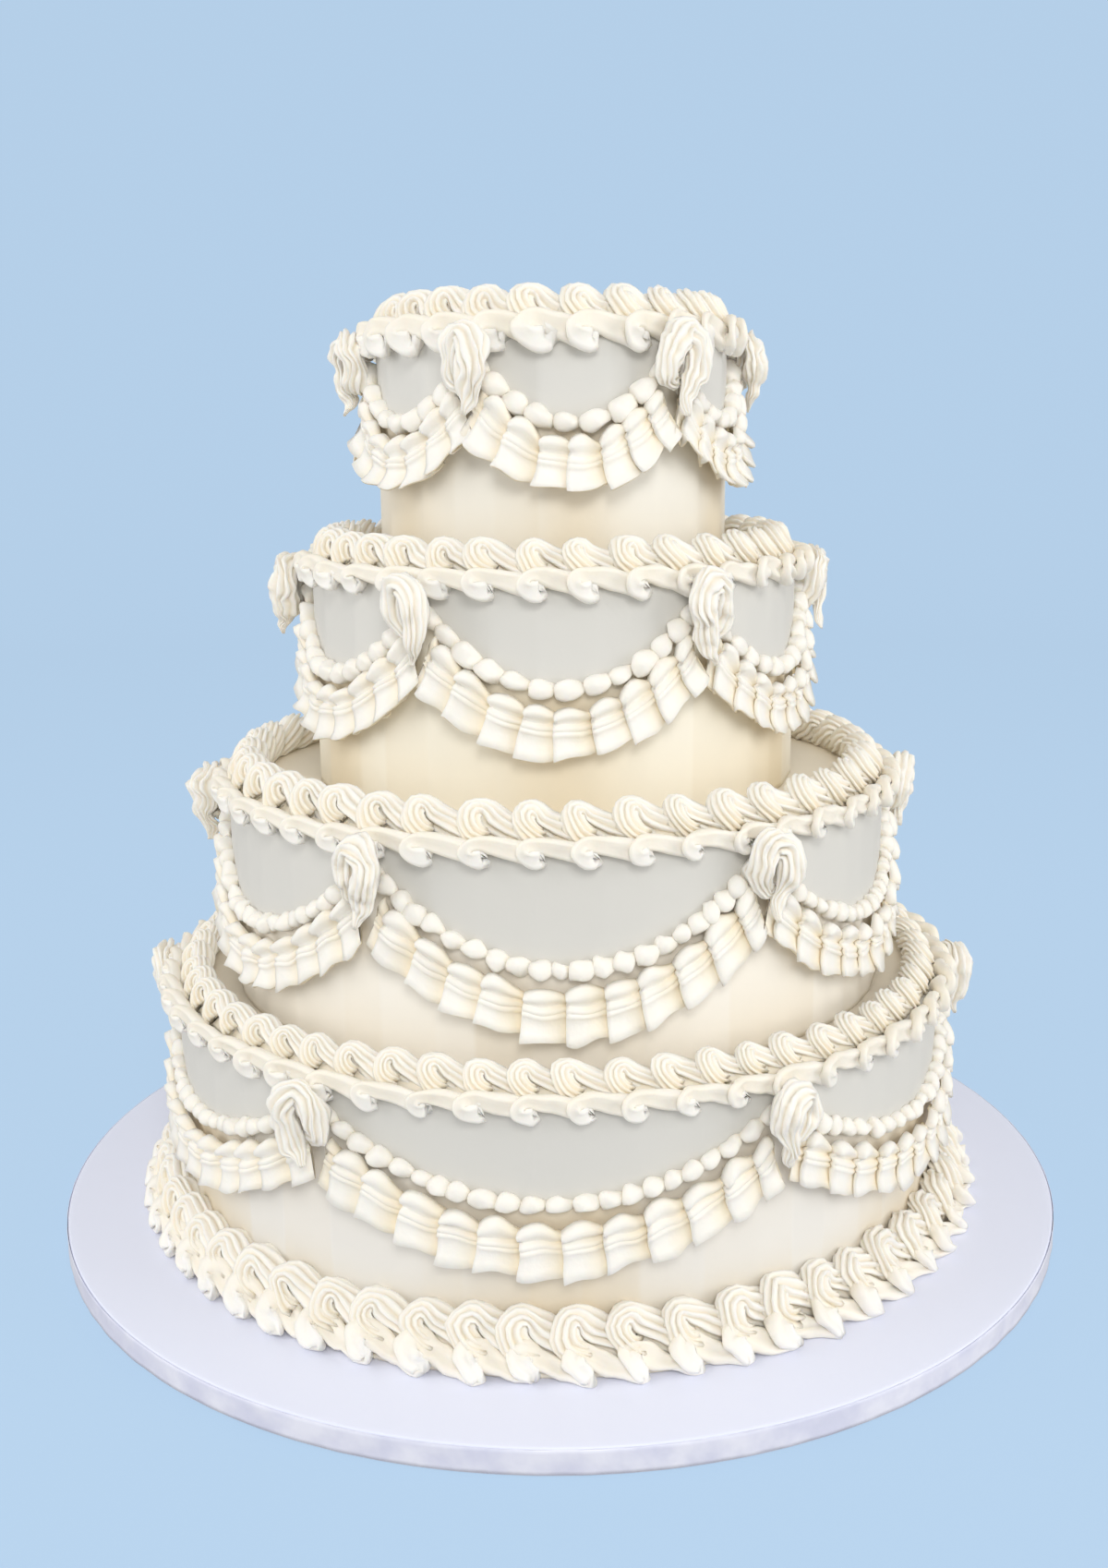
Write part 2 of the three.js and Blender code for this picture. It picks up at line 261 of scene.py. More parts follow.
class Shape:
    """Grids of points gathered into one mesh. Rows run along a strand and columns go round it."""

    def __init__(self):
        self.points, self.warmth, self.triangles = [], [], []
        self.count = 0

    def add(self, grid, warmth, ring=False):
        """Adds a grid with its ends capped, or with its last row joined to its first."""
        rows, columns = grid.shape[:2]
        index = np.arange(rows * columns).reshape(rows, columns)
        here = index if ring else index[:-1]
        ahead = np.roll(index, -1, axis=0) if ring else index[1:]
        beside, across = np.roll(here, -1, axis=1), np.roll(ahead, -1, axis=1)
        faces = [np.stack([here, ahead, across], -1), np.stack([here, across, beside], -1)]
        points = grid.reshape(-1, 3)
        shade = np.broadcast_to(warmth, (rows, columns)).ravel()
        if not ring:
            centres = np.stack([grid[0].mean(axis=0), grid[-1].mean(axis=0)])
            first, last = rows * columns, rows * columns + 1
            start, end = index[0], index[-1]
            faces.append(np.stack([np.full(columns, first), start, np.roll(start, -1)], -1))
            faces.append(np.stack([np.full(columns, last), np.roll(end, -1), end], -1))
            points = np.vstack([points, centres])
            shade = np.append(shade, [shade[0], shade[-1]])
        faces = np.vstack([face.reshape(-1, 3) for face in faces])
        corner, second, third = points[faces].transpose(1, 0, 2)
        if np.sum(corner * np.cross(second, third)) < 0:
            faces = faces[:, ::-1]
        self.points.append(points)
        self.warmth.append(shade)
        self.triangles.append(faces + self.count)
        self.count += len(points)

    def piece(self, name, material, slot, *nodes):
        """Makes the mesh into a piece that stands for the nodes."""
        mesh = bpy.data.meshes.new(name)
        points = np.vstack(self.points) / METRE
        mesh.from_pydata(points.tolist(), [], np.vstack(self.triangles).tolist())
        warmth = mesh.attributes.new("warmth", "FLOAT", "POINT")
        warmth.data.foreach_set("value", np.concatenate(self.warmth).astype(np.float32))
        mesh.materials.append(material)
        mesh.shade_smooth()
        made = bpy.data.objects.new(name, mesh)
        bpy.context.scene.collection.objects.link(made)
        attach(made, "root")
        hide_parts(*nodes)


# ------------------------------------------------------------------ sections and strands


def round_section(points):
    """Round section of radius 1."""
    angle = full_turn(points)
    return np.stack([np.cos(angle), np.sin(angle)], axis=-1)


def band_section(points):
    """Section of icing from a petal tip: rounded edges and a shallow hollow down its front."""
    section = round_section(points)
    hollow = BAND["hollow"] * np.exp(-((section[:, 0] / BAND["spread"]) ** 2))
    section[:, 1] *= 1 - np.where(section[:, 1] > 0, hollow, 0)
    return section


def star_section():
    """Section of icing from a star tip, and how deep in a groove each of its points lies."""
    angle = full_turn(STAR["ridges"] * STAR["points"])
    groove = 1 - np.abs(np.sin(angle * STAR["ridges"] / 2))
    size = 1 - STAR["depth"] * groove
    return np.stack([size * np.cos(angle), size * np.sin(angle)], axis=-1), groove


def strand(line, normals, section, half_width, half_depth, ring):
    """Grid of a section carried along a line, with its depth along the normals."""
    if ring:
        along = np.roll(line, -1, axis=0) - np.roll(line, 1, axis=0)
    else:
        along = np.gradient(line, axis=0)
    side = unit(np.cross(along, normals))
    lift = unit(np.cross(side, along))
    wide = np.broadcast_to(half_width, len(line))[:, None] * section[:, 0]
    deep = np.broadcast_to(half_depth, len(line))[:, None] * section[:, 1]
    return line[:, None] + wide[..., None] * side[:, None] + deep[..., None] * lift[:, None]


def uneven(random, turns, count, spread):
    """A factor near 1 for each unit, passing smoothly from unit to unit and closing on itself."""
    values = random.uniform(1 - spread, 1 + spread, count)
    return np.interp(turns % count, np.arange(count + 1), np.append(values, values[0]))


def rough(points, random, wave, depth):
    """Points moved a little by slow waves."""
    moved = points.copy()
    for _ in range(ROUGH["waves"]):
        towards, shift = unit(random.normal(size=(2, 3)))
        phase = points @ towards * TURN / wave + random.uniform(0, TURN)
        moved += ROUGH["share"] * depth * np.sin(phase)[..., None] * shift
    return moved


def eased_under(levels, limit):
    """Levels drawn down smoothly where they would pass the limit."""
    ease = 0.5
    return limit - ease * np.logaddexp(0, (limit - levels) / ease)


def looped_border(random, radius, level, loops, thick, form):
    """A border that loops clockwise: its line, the normals of its loops, its angle and its half width.

    The loops lean inwards from the vertical by the form's tilt, so that 0 lies flat against a wall.
    Each loop's left side lies on the right side of the loop before it.
    """
    turns = np.arange(loops * form["samples"]) / form["samples"]
    angle = TURN * turns
    size = thick * uneven(random, turns, loops, form["jitter"])
    drift = LOOPS["drift"] * (uneven(random, turns, loops, 1) - 1)
    moved = np.floor(turns) + smooth(turns % 1, LOOPS["rest"], LOOPS["rest"] + form["stride"])
    across = form["reach"] * size * np.sin(angle)
    up = size * (form["rise"] * np.cos(angle) - form["skew"] * np.sin(angle))
    out = -form["lift"] * size * np.sin(angle)
    azimuth = TURN * (moved + drift) / loops + across / radius
    lean = math.radians(form["tilt"])
    line = around(
        radius - up * math.sin(lean) + out * math.cos(lean),
        azimuth,
        level + up * math.cos(lean) + out * math.sin(lean),
    )
    normals = outward(azimuth) * math.cos(lean) + np.array([0, 0, math.sin(lean)])
    half = size * (form["half"] + form["swell"] * np.cos(angle + form["phase"]))
    return line, normals, angle, half


def bed(shape, inner, outer, bottom, top):
    """Plain icing under a border, so that no gap shows between its loops."""
    section = [
        (inner, bottom),
        (outer, bottom),
        (outer, bottom + BED["lip"]),
        (inner, top),
        (inner - BED["toe"], bottom),
    ]
    azimuth = full_turn(BED["steps"])
    grid = np.stack([around(radius, azimuth, level) for radius, level in section], axis=1)
    # The bed shows only in the gaps between loops, and takes painted shade there.
    shape.add(grid, PIPING_TONE_AND_SHADE["bed"], ring=True)


# ------------------------------------------------------------------ borders


def star_warmth(groove, angle):
    """Painted shade: grooves are warmer and darker, and so is the pinched foot of each loop."""
    foot = 0.5 - 0.5 * np.cos(angle)
    return np.clip(PIPING_TONE_AND_SHADE["groove"] * groove[None, :] + PIPING_TONE_AND_SHADE["foot"] * foot[:, None] ** 2, 0, 1)


def curl_warmth(angle):
    """Curls are warmer at their tops than at their feet."""
    return PIPING_TONE_AND_SHADE["curl"] + PIPING_TONE_AND_SHADE["curl_swing"] * np.cos(angle)[:, None]


def rim_rope(number, tier, radius, top, material):
    """Star rope on a tier's top, with its crests at the height of the frame's piece."""
    random = np.random.default_rng(SEEDS["rim_rope"] + number)
    thick = tier["rope"]
    centre = radius - ROPE["inset"]
    line, normals, angle, half = looped_border(random, centre, 0.0, tier["rope_loops"], thick, ROPE)
    section, groove = star_section()
    grid = rough(strand(line, normals, section, half, half, ring=True), random, *ROPE["rough"])
    highest = box_mm(f"rim_rope_{number}")[1][2]
    crests = grid[..., 2].reshape(tier["rope_loops"], -1).max(axis=1)
    levels = eased_under(grid[..., 2] + highest - crests.mean(), highest)
    grid[..., 2] = np.maximum(levels, top + GAP)
    shape = Shape()
    shape.add(grid, star_warmth(groove, angle), ring=True)
    inner, outer = centre - ROPE_BED["inwards"] * thick, centre + ROPE_BED["outwards"] * thick
    bed(shape, inner, outer, top + GAP, highest - ROPE_BED["below"] * thick)
    shape.piece(f"Rim_rope_{number}", material, "piping", f"rim_rope_{number}")


def rim_scroll(number, tier, radius, top, material):
    """Smooth scroll of curls over a tier's top edge."""
    random = np.random.default_rng(SEEDS["rim_scroll"] + number)
    thick = SCROLL["thick"] * tier["curl"]
    out, level = GAP + SCROLL["proud"] * SCROLL["thick"], SCROLL["level"] * tier["curl"]
    line, normals, angle, half = looped_border(
        random, radius + out, top + level, tier["curls"], thick, SCROLL
    )
    section, depth = band_section(SCROLL["points"]), half / tier["curl"]
    grid = rough(strand(line, normals, section, half, depth, ring=True), random, *SCROLL["rough"])
    shape = Shape()
    shape.add(grid, curl_warmth(angle), ring=True)
    shape.piece(f"Rim_scroll_{number}", material, "piping", f"rim_scroll_{number}")


def base_border(random, radius, bottom, form):
    """A looped border on the board, set out from the bottom tier's wall."""
    return looped_border(
        random, radius + form["out"], bottom + form["level"], form["loops"], form["thick"], form
    )


def base_bed(shape, radius, bottom, form):
    """The bed of a border on the board."""
    bed(shape, radius + form["inner"], radius + form["outer"], bottom + GAP, bottom + form["height"])


def base_rope(radius, bottom, material):
    """Star rope piled against the foot of the bottom tier."""
    random = np.random.default_rng(SEEDS["base_rope"])
    line, normals, angle, half = base_border(random, radius, bottom, BASE_ROPE)
    section, groove = star_section()
    grid = rough(strand(line, normals, section, half, half, ring=True), random, *BASE_ROPE["rough"])
    grid[..., 2] = np.maximum(grid[..., 2], bottom + GAP)
    shape = Shape()
    shape.add(grid, star_warmth(groove, angle), ring=True)
    base_bed(shape, radius, bottom, BASE_ROPE_BED)
    shape.piece("Base_rope", material, "piping", "base_rope")


def base_curls(radius, bottom, material):
    """Row of smooth curls on the board, outside the base rope."""
    random = np.random.default_rng(SEEDS["base_curls"])
    line, normals, angle, half = base_border(random, radius, bottom, BASE_CURLS)
    section, depth = band_section(BASE_CURLS["points"]), BASE_CURLS["depth"] * half
    grid = rough(strand(line, normals, section, half, depth, ring=True), random, *BASE_CURLS["rough"])
    grid[..., 2] = np.maximum(grid[..., 2], bottom + GAP)
    shape = Shape()
    shape.add(grid, curl_warmth(angle), ring=True)
    base_bed(shape, radius, bottom, BASE_CURLS_BED)
    shape.piece("Base_curls", material, "piping", "base_curls")


# ------------------------------------------------------------------ swags


def swag_start(tier, number):
    """Azimuth of a swag's left end, where a drop hangs."""
    return math.radians(tier["turn"] - 180 / SWAGS) + number * TURN / SWAGS


class SwagLine:
    """The hanging curve of one swag on a tier's wall, at a drop below the pearl string."""

    def __init__(self, tier, radius, top, number, drop):
        self.radius = radius
        share = np.linspace(0, 1, SWAG_POINTS)
        self.across = radius * (swag_start(tier, number) + share * TURN / SWAGS)
        self.level = top - PEARL["end"] - drop - tier["sag"] * 4 * share * (1 - share)
        steps = np.hypot(np.diff(self.across), np.diff(self.level))
        self.travel = np.concatenate([[0], np.cumsum(steps)])
        self.length = self.travel[-1]

    def place(self, travel, below, proud, lean=1.0):
        """Points at a distance along the curve, below it, and out from the wall.

        Below is straight down with a lean of 0 and square to the curve with a lean of 1.
        """
        across = np.interp(travel, self.travel, self.across)
        level = np.interp(travel, self.travel, self.level)
        slope = np.arctan(np.gradient(self.level, self.across))
        turned = lean * np.interp(travel, self.travel, slope)
        azimuth = (across + below * np.sin(turned)) / self.radius
        return around(self.radius + proud, azimuth, level - below * np.cos(turned))


def pearl_string(shape, random, line, tier):
    """One string of pearls. Each swells quickly and draws out into a tail under the next."""
    count = round(line.length / tier["pearl"])
    samples = PEARL["samples"]
    step = np.arange(count * samples + 1) / samples
    lengths = np.concatenate([[0], np.cumsum(random.uniform(*PEARL["lengths"], count))])
    travel = np.interp(step, np.arange(count + 1), lengths / lengths[-1] * line.length)
    sizes = random.uniform(*PEARL["sizes"], count + 1)[np.minimum(step.astype(int), count)]
    bead = np.sin(math.pi * (step % 1) ** PEARL["lead"]) ** PEARL["bluntness"]
    half = tier["bead"] * sizes * (PEARL["neck"] + (1 - PEARL["neck"]) * bead)
    centre = line.place(travel, PEARL["droop"] * (sizes - 1), PEARL["sunk"] * half)
    azimuth = np.arctan2(centre[:, 0], -centre[:, 1])
    section = round_section(PEARL["points"])
    grid = strand(centre, outward(azimuth), section, half, half, ring=False)
    # Painted shade in the necks between pearls, over a little warm tint on each pearl.
    warmth = PIPING_TONE_AND_SHADE["pearl"] + PIPING_TONE_AND_SHADE["neck"] * (1 - bead)[:, None]
    shape.add(rough(grid, random, *PEARL["rough"]), warmth)


def pearl_swags(number, tier, radius, top, material):
    """The pearl strings of a tier's swags."""
    random = np.random.default_rng(SEEDS["pearls"] + number)
    shape = Shape()
    for swag in range(SWAGS):
        pearl_string(shape, random, SwagLine(tier, radius, top, swag, 0), tier)
    shape.piece(f"Pearl_swags_{number}", material, "piping", f"pearl_swags_{number}")


# Stations down the front of a ruffle. Each has its share of the way up the hood from the channel
# above the ribs, its place across the ribs in millimetres, its share of the way down the frill, how
# proud it is where a fold starts and where it is tucked in, and how far a rib lifts it.
RIBS_FROM = -3.4
RIBS_TO = 2.6
EDGE_PROUD = 9.0  # the frill's edge, before a tier's flare takes its place
RUFFLE_FRONT = [
    (1.00, RIBS_FROM, 0, 3.6, 1.0, 0),
    (0.90, RIBS_FROM, 0, 6.4, 1.9, 0),
    (0.72, RIBS_FROM, 0, 8.4, 2.6, 0),
    (0.50, RIBS_FROM, 0, 8.3, 2.5, 0),
    (0.26, RIBS_FROM, 0, 6.0, 1.8, 0),
    (0, RIBS_FROM, 0, 4.5, 1.3, 0),
    (0, -2.5, 0, 4.8, 1.6, 0),
    (0, -1.9, 0, 5.4, 2.0, 0.5),
    (0, -1.2, 0, 5.8, 2.0, 1.0),
    (0, -0.5, 0, 5.9, 2.1, 0.55),
    (0, 0.1, 0, 6.0, 2.1, 0.2),
    (0, 0.7, 0, 6.0, 2.1, 0.65),
    (0, 1.3, 0, 6.1, 2.2, 1.0),
    (0, 1.9, 0, 6.2, 2.2, 0.45),
    (0, RIBS_TO, 0, 6.3, 2.2, 0),
    (0, RIBS_TO, 0.3, 6.6, 2.8, 0),
    (0, RIBS_TO, 0.65, 7.4, 3.8, 0),
    (0, RIBS_TO, 1, EDGE_PROUD, 5.4, 0),
]
# The back goes up again by some of them.
RUFFLE_BACK = [RUFFLE_FRONT[i] for i in (17, 15, 10, 5, 2, 0)]


def ruffle_face(line, step, folds, stations, shares):
    """Grid of points on a ruffle's sheet, and how near each is to the start of a fold."""
    hood, ribs, frill, start, tuck, lift = np.array(stations, float).T
    angle = TURN * step
    fold = np.sin(angle) - RUFFLE["snap"] * np.sin(3 * angle)
    crest = 0.5 - 0.5 * fold
    pitch = (line.length - 2 * RUFFLE["end"]) / folds
    travel = RUFFLE["end"] + pitch * (step + shares["wander"]) + RUFFLE["overlap"] * fold
    peak = (0.5 + 0.5 * np.cos(angle + HOOD["lead"])) ** HOOD["sharpness"]
    top_edge = -HOOD["low"] - HOOD["rise"] * peak * shares["hood"]
    ripple = FRILL["ripple"] * np.sin(FRILL["ripples"] * angle)
    low_edge = FRILL["drop"] * shares["frill"] + FRILL["proud_drop"] * crest + ripple
    below = ribs + hood * (top_edge - RIBS_FROM) + frill * (low_edge - RIBS_TO)
    start = start + frill**2 * (shares["flare"] - EDGE_PROUD)
    rounded = crest + RELIEF["rounding"] * np.cos(angle)
    proud = tuck + (start - tuck) * rounded + RELIEF["rib"] * lift
    away = smooth(np.minimum(travel, line.length - travel), *RELIEF["end_zone"])
    proud = RELIEF["least"] + proud * (RELIEF["at_end"] + (1 - RELIEF["at_end"]) * away)
    return line.place(travel, below, proud, RUFFLE["lean"]), crest


def ruffle_warmth(crest):
    """Painted shade over a ruffle's front: warmer and darker where it is tucked in, lighter down its
    frill.
    """
    frill = np.array(RUFFLE_FRONT, float)[:, 2]
    tucked = RUFFLE_TONE_AND_SHADE["tucked"] * (RUFFLE_TONE_AND_SHADE["crest"] - crest)
    warmth = RUFFLE_TONE_AND_SHADE["base"] + tucked - RUFFLE_TONE_AND_SHADE["frill"] * frill
    return np.clip(warmth, RUFFLE_TONE_AND_SHADE["least"], 1)


def ruffle(shape, random, line, tier):
    """One knife-folded ruffle. Each fold is proud on its left and tucks in under the next."""
    folds, samples = tier["folds"], RUFFLE["samples"]
    even = np.arange(folds * samples + 1)[:, None] / samples
    step = even - RUFFLE["bunch"] * np.sin(TURN * even)
    knots = np.arange(folds + 1)

    def each(low, high):
        """A value at the middle of each fold, passing evenly to the next."""
        return np.interp(step, knots, random.uniform(low, high, folds + 1))

    shares = {"wander": each(-RUFFLE["wander"], RUFFLE["wander"])}
    shares["hood"] = each(*HOOD["sizes"])
    shares["frill"] = each(*FRILL["sizes"])
    shares["flare"] = tier["flare"] * each(*FRILL["flares"])
    front, crest = ruffle_face(line, step, folds, RUFFLE_FRONT, shares)
    back, _ = ruffle_face(line, step, folds, RUFFLE_BACK, shares)
    layers = []
    for face in (front, back):
        normals = unit(np.cross(np.gradient(face, axis=0), np.gradient(face, axis=1)))
        layers.append(face - normals * RUFFLE["thick"] / 2)
    # The back of the sheet, facing the wall, is in painted shade.
    behind = np.full((len(step), len(RUFFLE_BACK)), RUFFLE_TONE_AND_SHADE["behind"])
    grid = rough(np.concatenate(layers, axis=1), random, *RUFFLE["rough"])
    shape.add(grid, np.concatenate([ruffle_warmth(crest), behind], axis=1))


def ruffle_swags(number, tier, radius, top, material):
    """The ruffles of a tier's swags."""
    random = np.random.default_rng(SEEDS["ruffles"] + number)
    shape = Shape()
    for swag in range(SWAGS):
        line = SwagLine(tier, radius + GAP, top, swag, RUFFLE["rib_drop"])
        ruffle(shape, random, line, tier)
    shape.piece(f"Ruffle_swags_{number}", material, "piping", f"ruffle_swags_{number}")


# ------------------------------------------------------------------ drops


def curve_through(stations, samples):
    """Smooth values through rows of listed stations, evenly spaced along them."""
    stations = np.array(stations, float)
    place = np.linspace(0, len(stations) - 1, samples)
    first = np.clip(place.astype(int), 0, len(stations) - 2)
    share = (place - first)[:, None]
    padded = np.vstack([2 * stations[0] - stations[1], stations, 2 * stations[-1] - stations[-2]])
    before, start, end, after = (padded[first + i] for i in range(4))
    return 0.5 * (
        2 * start
        + (end - before) * share
        + (2 * before - 5 * start + 4 * end - after) * share**2
        + (3 * start - before - 3 * end + after) * share**3
    )


# A drop's line: across the wall, level above the tier's top, out from the wall, and half thickness.
DROP_LINE = [
    (2.0, -20.0, 7.0, 2.6),
    (-2.5, -21.0, 8.0, 4.2),
    (-6.0, -15.0, 9.5, 5.4),
    (-5.8, -6.5, 11.0, 6.2),
    (-0.5, -0.5, 12.0, 6.6),
    (5.2, -4.5, 13.5, 6.6),
    (6.2, -12.5, 14.5, 6.2),
    (4.6, -20.5, 14.0, 5.0),
    (2.4, -27.5, 13.0, 3.3),
    (1.0, -34.0, 14.0, 1.0),
]


def drop(number, place, tier, radius, top, material):
    """A star drop that loops up, over to the left or right, and down to a pointed tail."""
    random = np.random.default_rng(SEEDS["drops"] + 10 * number + place)
    azimuth = swag_start(tier, place)
    across, level, out, half = curve_through(DROP_LINE, DROP["samples"]).T
    side = random.choice([-1, 1])
    across = across * side + random.uniform(-DROP["lean"], DROP["lean"]) * (level - level[0])
    pulses = np.linspace(0, random.uniform(*DROP["pulses"]), DROP["samples"])
    pulse = np.sin(pulses + random.uniform(0, TURN))
    front, beside = outward(azimuth), outward(azimuth + TURN / 4)
    centre = around(radius + out, azimuth, top + level) + across[:, None] * beside
    section, groove = star_section()
    size = random.uniform(*DROP["sizes"]) * (1 + DROP["pulse"] * pulse)
    normals = np.broadcast_to(front, centre.shape)
    grid = strand(centre, normals, section, half * size, half * size, ring=False)
    shape = Shape()
    lumpy = rough(rough(grid, random, *DROP["bends"]), random, *DROP["lumps"])
    # Painted shade in the grooves.
    shape.add(lumpy, PIPING_TONE_AND_SHADE["groove"] * groove[None, :])
    shape.piece(f"Drop_{number}_{place + 1}", material, "piping", f"drop_{number}_{place + 1}")


# ------------------------------------------------------------------ walls and board


def wall_radius(random, radius, azimuth):
    """The wall's radius, flattened between the marks of the scraper, and each flat's painted shade, -1
    to 1.
    """
    edges = np.cumsum(random.uniform(*FLAT["widths"], int(TURN * radius / FLAT["spacing"])))
    edges = np.concatenate([[0], edges / edges[-1] * TURN])
    facet = np.clip(np.searchsorted(edges, azimuth, side="right") - 1, 0, len(edges) - 2)
    middle = (edges[facet] + edges[facet + 1]) / 2
    half = (edges[facet + 1] - edges[facet]) / 2
    flat = radius * np.cos(half) / np.cos(azimuth - middle)
    flat_shade = random.uniform(-1, 1, len(edges))[facet]
    return flat - random.uniform(0, FLAT["depth"], len(edges))[facet], flat_shade


def wall_profile(bottom, top):
    """Levels up a wall, over its rounded edge and on to the top, and how far each is set in."""
    edge, rows = WALL["edge"], WALL["rows"]
    corner = np.linspace(0, TURN / 4, WALL["corners"])[1:]
    straight = np.linspace(bottom, top - edge, rows)
    levels = np.concatenate([straight, top - edge + edge * np.sin(corner), [top]])
    inset = np.concatenate([np.zeros(rows), edge * (1 - np.cos(corner)), [WALL["ledge"]]])
    return levels, inset


def wall_warmth(tier, azimuth, levels, flat_shade, bottom, top):
    """Tone and painted shade over a wall: none above the pearls, painted golden shade in places below
    them, and even on the top.
    """
    share = ((azimuth - swag_start(tier, 0)) / (TURN / SWAGS)) % 1
    hang = 4 * share * (1 - share)
    above = levels[:, None] - top + PEARL["end"] + tier["sag"] * hang[None, :]
    foot_from, foot_to = WALL_TONE_AND_SHADE["foot_zone"]
    low = 1 - smooth(levels, bottom + foot_from, bottom + foot_to)
    # Painted golden shade near the foot of the wall.
    golden_shade = WALL_TONE_AND_SHADE["foot"] * low[:, None]
    # Painted golden shade under the middle of each swag.
    golden_shade = golden_shade + tier["swag_shade"] * hang[None, :] ** WALL_TONE_AND_SHADE["swag_power"]
    # Painted shade on each scraper flat, shifted one way or the other from flat to flat.
    golden_shade = golden_shade + WALL_TONE_AND_SHADE["flat"] * flat_shade[None, :]
    # Painted warm shade in the strip between pearls and ruffle.
    strip = (above + WALL_TONE_AND_SHADE["strip_drop"]) / WALL_TONE_AND_SHADE["strip_width"]
    golden_shade = golden_shade + WALL_TONE_AND_SHADE["strip"] * np.exp(-(strip**2))
    window = smooth(above, *WALL_TONE_AND_SHADE["window_zone"])
    warmth = (WALL_TONE_AND_SHADE["middle"] + golden_shade) * (1 - window)
    # The top takes a value between the wall's colour and the painted golden shade, for the shade behind
    # the rope.
    warmth[-1] = WALL_TONE_AND_SHADE["ledge"]
    return warmth


def tier_wall(number, tier, radius, bottom, top):
    """An iced tier, scraped smooth, with a rounded top edge."""
    random = np.random.default_rng(SEEDS["wall"] + number)
    azimuth = full_turn(1 + int(TURN * radius / WALL["column"]))
    turned, flat_shade = wall_radius(random, radius, azimuth)
    levels, inset = wall_profile(bottom, top)
    grid = around(turned[None, :] - inset[:, None], azimuth[None, :], levels[:, None])
    shape = Shape()
    shape.add(grid, wall_warmth(tier, azimuth, levels, flat_shade, bottom, top))
    shape.piece(f"Tier_{number}", wall_material(tier["wall"]), "cake", f"tier_{number}")


def board(material):
    """The covered board, turned about the axis, with a rounded top edge."""
    low, high = box_mm("cake_board")
    radius, edge = high[0], BOARD["edge"]
    inner, foot = radius - BOARD["inset"], low[2] + BOARD["foot"]
    corner = np.linspace(0, TURN / 4, BOARD["corners"])
    rim = [(radius - edge + edge * math.cos(a), high[2] - edge + edge * math.sin(a)) for a in corner]
    profile = [(inner, low[2]), (radius, low[2]), (radius, foot), *rim, (inner, high[2])]
    azimuth = full_turn(BOARD["steps"])
    shape = Shape()
    shape.add(np.stack([around(across, azimuth, level) for across, level in profile]), 0.0)
    shape.piece("Board", material, "board", "cake_board")


def ribbon(material):
    """Ribbon round the board's edge, a little crinkled."""
    low, high = box_mm("board_ribbon")
    outer = high[0]
    random = np.random.default_rng(SEEDS["ribbon"])
    azimuth = full_turn(RIBBON["steps"])
    crinkle = sum(
        random.uniform(*RIBBON["wave_sizes"]) * np.sin(azimuth * waves + random.uniform(0, TURN))
        for waves in random.integers(*RIBBON["waves"], RIBBON["wave_count"])
    )
    levels = np.linspace(low[2], high[2], RIBBON["rows"])
    sway = np.linspace(-1, 1, RIBBON["rows"])
    swing = RIBBON["calm"] + (1 - RIBBON["calm"]) * sway[None, :] ** 2
    front = outer - RIBBON["front"] + RIBBON["crinkle"] * crinkle[:, None] * swing
    front = np.clip(front, outer - RIBBON["deepest"], outer)
    outside = around(front, azimuth[:, None], levels[None, :])
    inside = around(outer - RIBBON["back"], azimuth[:, None], levels[None, ::-1])
    shape = Shape()
    shape.add(np.concatenate([outside, inside], axis=1), 0.0, ring=True)
    shape.piece("Board_ribbon", material, "ribbon", "board_ribbon")


# ------------------------------------------------------------------ materials


def srgb(red, green, blue):
    """Linear colour from 8-bit display values."""
    shares = [value / 255 for value in (red, green, blue)]
    linear = [s / 12.92 if s <= 0.04045 else ((s + 0.055) / 1.055) ** 2.4 for s in shares]
    return (*linear, 1.0)


def new_material(name, roughness):
    """A principled material, its nodes and its links."""
    material = bpy.data.materials.new(name)
    material.use_nodes = True
    nodes, links = material.node_tree.nodes, material.node_tree.links
    shader = nodes["Principled BSDF"]
    shader.inputs["Roughness"].default_value = roughness
    return material, nodes, links, shader


def noise_bump(nodes, links, shader, scale, strength, distance, detail=3.0):
    """Adds fine unevenness, with scale in waves to the metre, and gives the noise behind it."""
    place = nodes.new("ShaderNodeTexCoord")
    noise = nodes.new("ShaderNodeTexNoise")
    noise.inputs["Scale"].default_value = scale
    noise.inputs["Detail"].default_value = detail
    bump = nodes.new("ShaderNodeBump")
    bump.inputs["Strength"].default_value = strength
    bump.inputs["Distance"].default_value = distance
    links.new(place.outputs["Object"], noise.inputs["Vector"])
    links.new(noise.outputs["Fac"], bump.inputs["Height"])
    links.new(bump.outputs["Normal"], shader.inputs["Normal"])
    return noise


def colour_by_warmth(nodes, links, shader, *colours):
    """Colour that passes through the colours, evenly spaced, as the mesh's value goes from 0 to 1. The
    last colour is painted shade.
    """
    warmth = nodes.new("ShaderNodeAttribute")
    warmth.attribute_name = "warmth"
    blend = nodes.new("ShaderNodeValToRGB")
    stops = blend.color_ramp.elements
    while len(stops) < len(colours):
        stops.new(0.5)
    for stop, place, colour in zip(stops, np.linspace(0, 1, len(colours)), colours):
        stop.position = place
        stop.color = srgb(*colour)
    links.new(warmth.outputs["Fac"], blend.inputs["Fac"])
    links.new(blend.outputs["Color"], shader.inputs["Base Color"])


